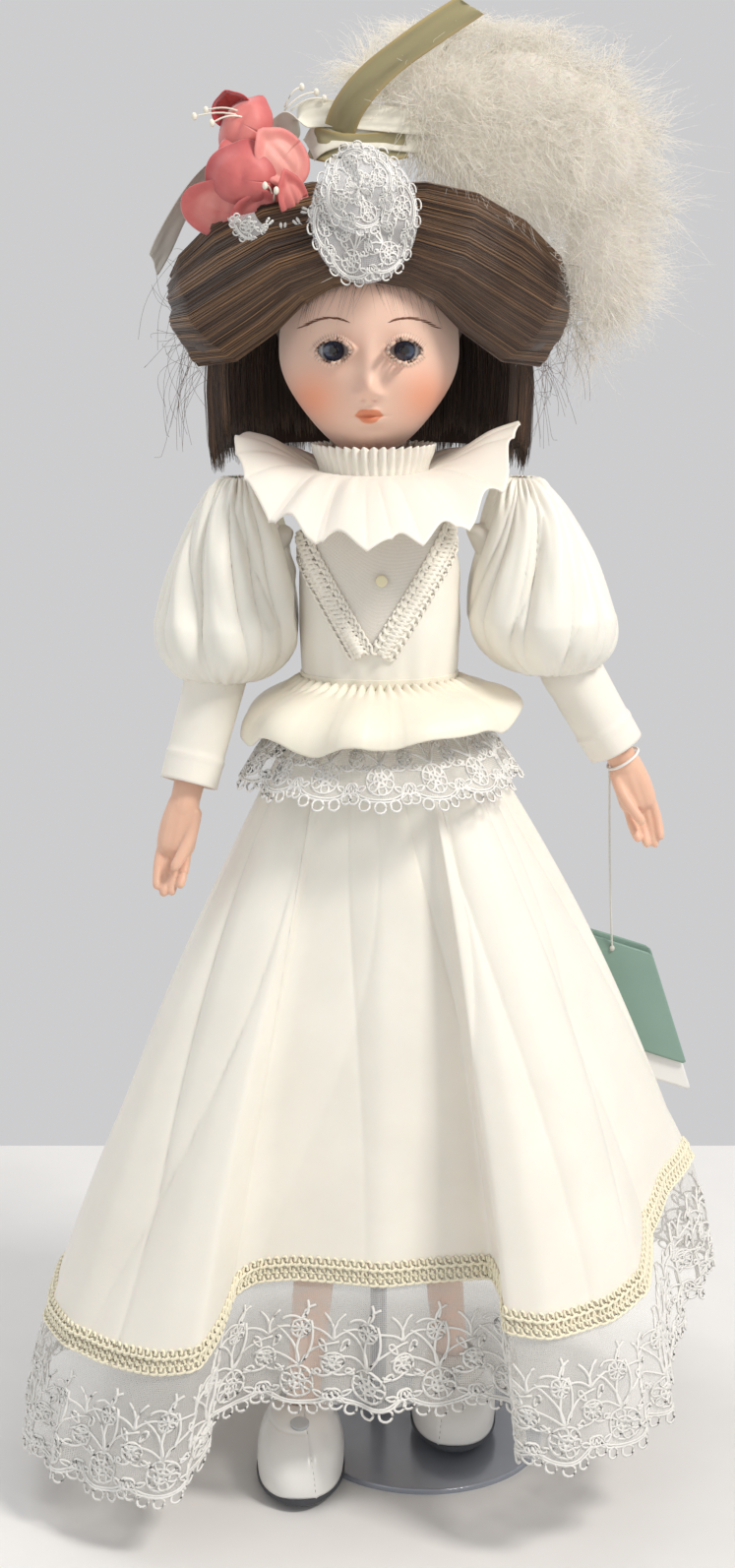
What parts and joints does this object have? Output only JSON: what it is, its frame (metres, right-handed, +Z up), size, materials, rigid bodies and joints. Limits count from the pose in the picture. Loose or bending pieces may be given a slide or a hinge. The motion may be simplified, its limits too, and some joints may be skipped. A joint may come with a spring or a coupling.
{
  "type": "porcelain doll",
  "caption": "Standing dressed porcelain doll on a round metal stand, with turning head, swinging arms and legs, long skirt, feathered hat and a hang tag.",
  "frame": {"origin": "on the floor under the doll's own axis, in the underside of the stand's disc", "axes": "+Z up, the doll faces -Y, +X towards the doll's left side"},
  "size_m": [0.2488, 0.2064, 0.4888],
  "materials": {
    "stand_metal": "satin blue-grey enamel",
    "steel": "plain",
    "body_cloth": "unbleached cotton",
    "bisque": "unglazed matte bisque",
    "eye_glass": "dark blue glass with white",
    "satin": "ivory satin",
    "lace": "white embroidered net",
    "braid": "cream looped braid",
    "net": "fine grey-white net",
    "button": "pale yellow",
    "hair": "dark brown fibre",
    "buckram": "stiffened net",
    "rose_silk": "coral pink silk",
    "stamen": "cream",
    "ribbon_ivory": "cream satin ribbon",
    "ribbon_green": "olive satin ribbon",
    "feather": "fluffed cream feather",
    "quill": "cream feather shaft",
    "pate_card": "pressed card",
    "shoe_leather": "white leatherette",
    "sole": "dark grey",
    "shoe_button": "milky",
    "elastic": "white elastic",
    "thread": "grey thread",
    "tag_card": "sage green"
  },
  "bodies": {
    "stand": {"stand_base": "stand_metal", "stand_post": "stand_metal"},
    "doll": {"stand_rod": "steel", "waist_clip": "steel", "torso": "body_cloth", "shoulder_plate": "bisque", "bodice": "satin", "yoke_panel": "net", "v_braid": "braid", "yoke_button": "button", "neckband": "satin", "collar_ruffle": "satin", "waistband": "satin", "peplum": "satin", "peplum_lace": "lace", "skirt": "satin", "hem_braid": "braid", "skirt_lace": "lace"},
    "head": {"head_shell": "bisque", "eye_right": "eye_glass", "eye_left": "eye_glass", "pate": "pate_card", "wig_cap": "net", "hair_crown": "hair", "hair_roll_right": "hair", "hair_roll_left": "hair", "hair_fall": "hair", "hat_base": "buckram", "rose": "rose_silk", "rose_stamens": "stamen", "lace_rosette": "lace", "ribbon_olive": "ribbon_green", "ribbon_cream": "ribbon_ivory", "ribbon_tail": "ribbon_ivory", "feather_quill": "quill", "feather_plume": "feather"},
    "arm_right": {"upper_arm_right": "body_cloth", "sleeve_puff_right": "satin", "sleeve_lower_right": "satin", "forearm_right": "bisque"},
    "leg_right": {"upper_leg_right": "body_cloth", "lower_leg_right": "bisque", "shoe_upper_right": "shoe_leather", "shoe_sole_right": "sole", "shoe_button_right": "shoe_button"},
    "arm_left": {"upper_arm_left": "body_cloth", "sleeve_puff_left": "satin", "sleeve_lower_left": "satin", "forearm_left": "bisque", "wrist_loop": "elastic"},
    "leg_left": {"upper_leg_left": "body_cloth", "lower_leg_left": "bisque", "shoe_upper_left": "shoe_leather", "shoe_sole_left": "sole", "shoe_button_left": "shoe_button"},
    "tag": {"tag_string": "thread", "hang_tag": "tag_card"}
  },
  "joints": [
    {"name": "stand_height", "type": "slide", "parent": "stand", "child": "doll", "axis": [0, 0, 1], "range_m": [0, 0.03]},
    {"name": "head_turn", "type": "hinge", "parent": "doll", "child": "head", "pos_m": [-0.0035, 0, 0.337], "axis": [0, 0, 1], "range_deg": [-15, 15]},
    {"name": "arm_right_swing", "type": "hinge", "parent": "doll", "child": "arm_right", "pos_m": [-0.036, 0, 0.318], "axis": [-1, 0, 0], "range_deg": [-10, 45]},
    {"name": "arm_left_swing", "type": "hinge", "parent": "doll", "child": "arm_left", "pos_m": [0.036, 0, 0.318], "axis": [-1, 0, 0], "range_deg": [-30, 0]},
    {"name": "tag_hang", "type": "hinge", "parent": "arm_left", "child": "tag", "pos_m": [0.0784, 0.0104, 0.24], "axis": [-1, 0, 0], "range_deg": [0, 30]},
    {"name": "leg_right_swing", "type": "hinge", "parent": "doll", "child": "leg_right", "pos_m": [-0.011, 0, 0.196], "axis": [-1, 0, 0], "range_deg": [0, 8]},
    {"name": "leg_left_swing", "type": "hinge", "parent": "doll", "child": "leg_left", "pos_m": [0.011, 0, 0.196], "axis": [-1, 0, 0], "range_deg": [0, 8]}
  ],
  "couplings": [
    {"joint": "tag_hang", "follows": "arm_left_swing", "ratio": -1}
  ]
}
